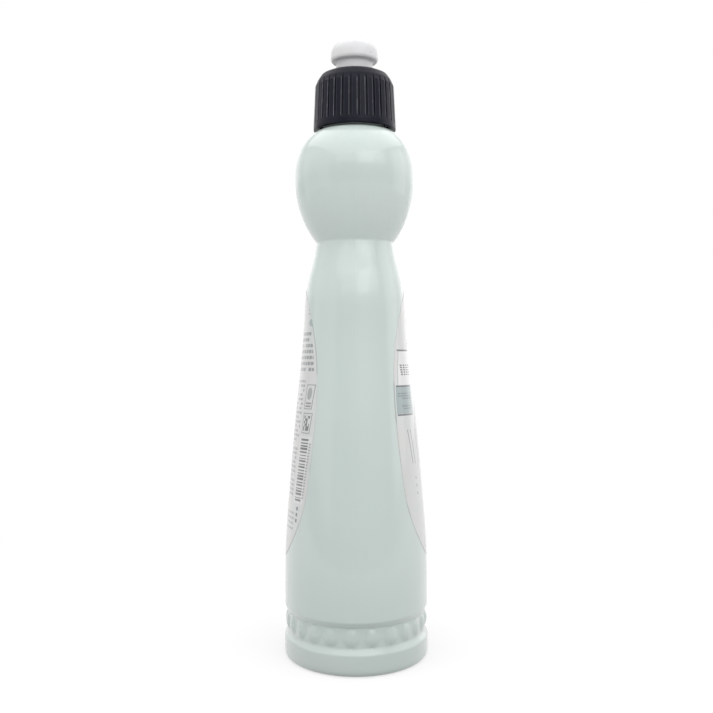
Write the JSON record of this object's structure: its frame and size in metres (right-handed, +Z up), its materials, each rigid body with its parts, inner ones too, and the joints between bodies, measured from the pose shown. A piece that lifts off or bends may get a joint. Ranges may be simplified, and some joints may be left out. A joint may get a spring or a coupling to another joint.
{
  "type": "dish soap bottle",
  "caption": "Oval squeeze bottle with a round globe under a ribbed screw cap, a push-pull nozzle, a beaded band over the foot and a film label on each wide face.",
  "frame": {"origin": "centre of the foot, on the surface that the bottle stands on", "axes": "+Z up along the bottle; the front label faces -Y, so X is the wide way of the oval and Y the narrow way"},
  "size_m": [0.0722, 0.0554, 0.2377],
  "materials": {
    "bottle_plastic": "pale mint-grey blow-moulded plastic, satin gloss, slightly translucent",
    "cap_plastic": "dark blue-black injection-moulded plastic, satin",
    "liner_foam": "soft white sealing ring, matte",
    "nozzle_plastic": "white injection-moulded plastic, soft gloss",
    "front_film": "thin off-white film label with plain printed fields",
    "back_film": "thin off-white film label with plain printed fields"
  },
  "bodies": {
    "bottle": {"bottle": "bottle_plastic", "front_label": "front_film", "back_label": "back_film"},
    "liner": {"cap_liner": "liner_foam"},
    "cap": {"screw_cap": "cap_plastic"},
    "nozzle": {"pull_nozzle": "nozzle_plastic"}
  },
  "joints": [
    {"name": "cap_rise", "type": "slide", "parent": "bottle", "child": "liner", "axis": [0, 0, 1], "range_m": [0, 0.01786]},
    {"name": "cap_turn", "type": "hinge", "parent": "liner", "child": "cap", "pos_m": [0, 0, 0.21], "axis": [0, 0, 1], "range_deg": [0, 1530]},
    {"name": "nozzle_pull", "type": "slide", "parent": "cap", "child": "nozzle", "axis": [0, 0, 1], "range_m": [0, 0.005]}
  ],
  "couplings": [
    {"joint": "cap_rise", "follows": "cap_turn", "m_per_rad": 0.00066845}
  ]
}
